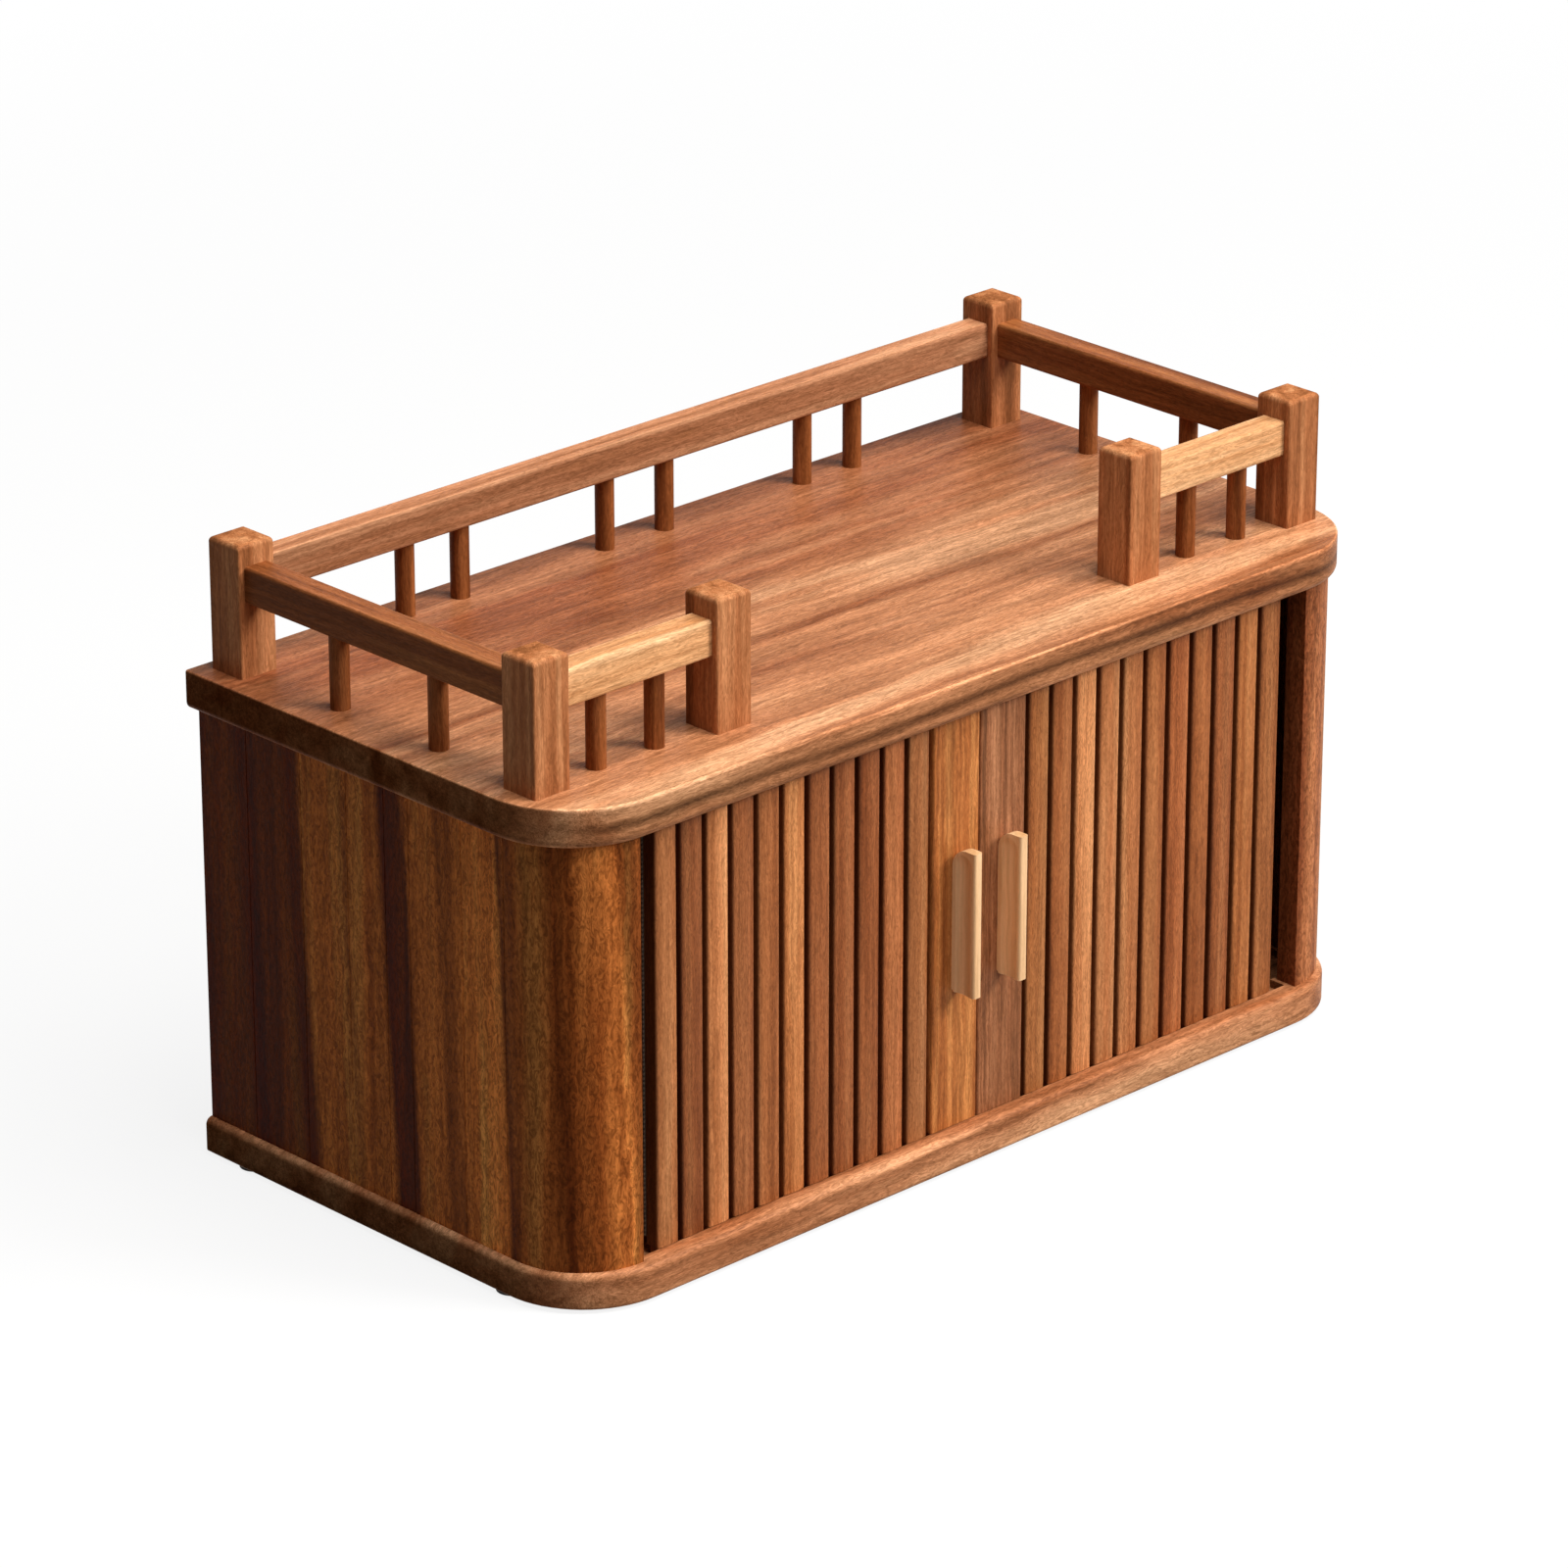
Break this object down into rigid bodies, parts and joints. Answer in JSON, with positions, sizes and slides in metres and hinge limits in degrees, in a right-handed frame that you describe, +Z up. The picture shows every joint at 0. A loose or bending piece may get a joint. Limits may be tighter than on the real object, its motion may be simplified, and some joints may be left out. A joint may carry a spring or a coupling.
{
  "type": "tabletop tambour cabinet",
  "caption": "Low wooden tabletop cabinet with rounded front corners, two slatted tambour doors that slide apart round the corners, and an open post-and-dowel gallery rail on top.",
  "frame": {"origin": "on the surface it stands on, under the middle of its outer box", "axes": "+X to the right along the front, +Y from the doors to the back, +Z up"},
  "size_m": [0.45, 0.225, 0.2645],
  "materials": {
    "board_wood": "satin oiled dark acacia, grain along the width",
    "panel_wood": "satin oiled acacia staves, upright grain",
    "rail_wood": "satin oiled acacia",
    "short_rail_wood": "satin oiled acacia, lighter sapwood",
    "slat_wood": "satin oiled acacia slats, mixed tones",
    "lead_wood": "satin oiled acacia",
    "pull_wood": "smooth sealed maple",
    "backing_cloth": "dark plain woven cotton",
    "screw_steel": "zinc plated",
    "foot_pad": "matt"
  },
  "bodies": {
    "cabinet": {"top_board": "board_wood", "base_board": "board_wood", "back_panel": "panel_wood", "feet": "foot_pad", "cabinet_screws": "screw_steel", "back_left_post": "rail_wood", "back_right_post": "rail_wood", "front_left_post": "rail_wood", "front_right_post": "rail_wood", "inner_left_post": "rail_wood", "inner_right_post": "rail_wood", "back_rail": "rail_wood", "left_rail": "rail_wood", "right_rail": "rail_wood", "front_left_rail": "short_rail_wood", "front_right_rail": "short_rail_wood", "back_spindles": "rail_wood", "left_spindles": "rail_wood", "right_spindles": "rail_wood", "front_spindles": "rail_wood", "left_side_panel": "panel_wood", "right_side_panel": "panel_wood"},
    "left_lead": {"left_lead_stile": "lead_wood", "left_pull": "pull_wood", "left_pull_screws": "screw_steel"},
    "left_curtain_1": {"left_slat_01": "slat_wood", "left_slat_02": "slat_wood", "left_cloth_1": "backing_cloth"},
    "left_curtain_2": {"left_slat_03": "slat_wood", "left_slat_04": "slat_wood", "left_slat_05": "slat_wood", "left_cloth_2": "backing_cloth"},
    "left_curtain_3": {"left_slat_06": "slat_wood", "left_slat_07": "slat_wood", "left_slat_08": "slat_wood", "left_cloth_3": "backing_cloth"},
    "left_curtain_4": {"left_slat_09": "slat_wood", "left_slat_10": "slat_wood", "left_slat_11": "slat_wood", "left_cloth_4": "backing_cloth"},
    "right_lead": {"right_lead_stile": "lead_wood", "right_pull": "pull_wood", "right_pull_screws": "screw_steel"},
    "right_curtain_1": {"right_slat_01": "slat_wood", "right_slat_02": "slat_wood", "right_cloth_1": "backing_cloth"},
    "right_curtain_2": {"right_slat_03": "slat_wood", "right_slat_04": "slat_wood", "right_slat_05": "slat_wood", "right_cloth_2": "backing_cloth"},
    "right_curtain_3": {"right_slat_06": "slat_wood", "right_slat_07": "slat_wood", "right_slat_08": "slat_wood", "right_cloth_3": "backing_cloth"},
    "right_curtain_4": {"right_slat_09": "slat_wood", "right_slat_10": "slat_wood", "right_slat_11": "slat_wood", "right_cloth_4": "backing_cloth"}
  },
  "joints": [
    {"name": "left_door_slide", "type": "slide", "parent": "cabinet", "child": "left_lead", "axis": [-1, 0, 0], "range_m": [0, 0.142]},
    {"name": "left_bend_1", "type": "hinge", "parent": "left_lead", "child": "left_curtain_1", "pos_m": [-0.0267, -0.09305, 0.103], "axis": [0, 0, -1], "range_deg": [0, 45.3]},
    {"name": "left_bend_2", "type": "hinge", "parent": "left_curtain_1", "child": "left_curtain_2", "pos_m": [-0.0537, -0.09305, 0.103], "axis": [0, 0, -1], "range_deg": [0, 49.8]},
    {"name": "left_bend_3", "type": "hinge", "parent": "left_curtain_2", "child": "left_curtain_3", "pos_m": [-0.0942, -0.09305, 0.103], "axis": [0, 0, -1], "range_deg": [0, 16.2]},
    {"name": "left_bend_4", "type": "hinge", "parent": "left_curtain_3", "child": "left_curtain_4", "pos_m": [-0.1347, -0.09305, 0.103], "axis": [0, 0, -1], "range_deg": [0, 15.5]},
    {"name": "right_door_slide", "type": "slide", "parent": "cabinet", "child": "right_lead", "axis": [1, 0, 0], "range_m": [0, 0.142]},
    {"name": "right_bend_1", "type": "hinge", "parent": "right_lead", "child": "right_curtain_1", "pos_m": [0.0267, -0.09305, 0.103], "axis": [0, 0, 1], "range_deg": [0, 45.3]},
    {"name": "right_bend_2", "type": "hinge", "parent": "right_curtain_1", "child": "right_curtain_2", "pos_m": [0.0537, -0.09305, 0.103], "axis": [0, 0, 1], "range_deg": [0, 49.8]},
    {"name": "right_bend_3", "type": "hinge", "parent": "right_curtain_2", "child": "right_curtain_3", "pos_m": [0.0942, -0.09305, 0.103], "axis": [0, 0, 1], "range_deg": [0, 16.2]},
    {"name": "right_bend_4", "type": "hinge", "parent": "right_curtain_3", "child": "right_curtain_4", "pos_m": [0.1347, -0.09305, 0.103], "axis": [0, 0, 1], "range_deg": [0, 15.5]}
  ],
  "couplings": [
    {"joint": "left_bend_1", "follows": "left_door_slide", "rad_per_m": 5.5678},
    {"joint": "left_bend_2", "follows": "left_door_slide", "rad_per_m": 6.1209},
    {"joint": "left_bend_3", "follows": "left_door_slide", "rad_per_m": 1.9911},
    {"joint": "left_bend_4", "follows": "left_door_slide", "rad_per_m": 1.9051},
    {"joint": "right_bend_1", "follows": "right_door_slide", "rad_per_m": 5.5678},
    {"joint": "right_bend_2", "follows": "right_door_slide", "rad_per_m": 6.1209},
    {"joint": "right_bend_3", "follows": "right_door_slide", "rad_per_m": 1.9911},
    {"joint": "right_bend_4", "follows": "right_door_slide", "rad_per_m": 1.9051}
  ]
}
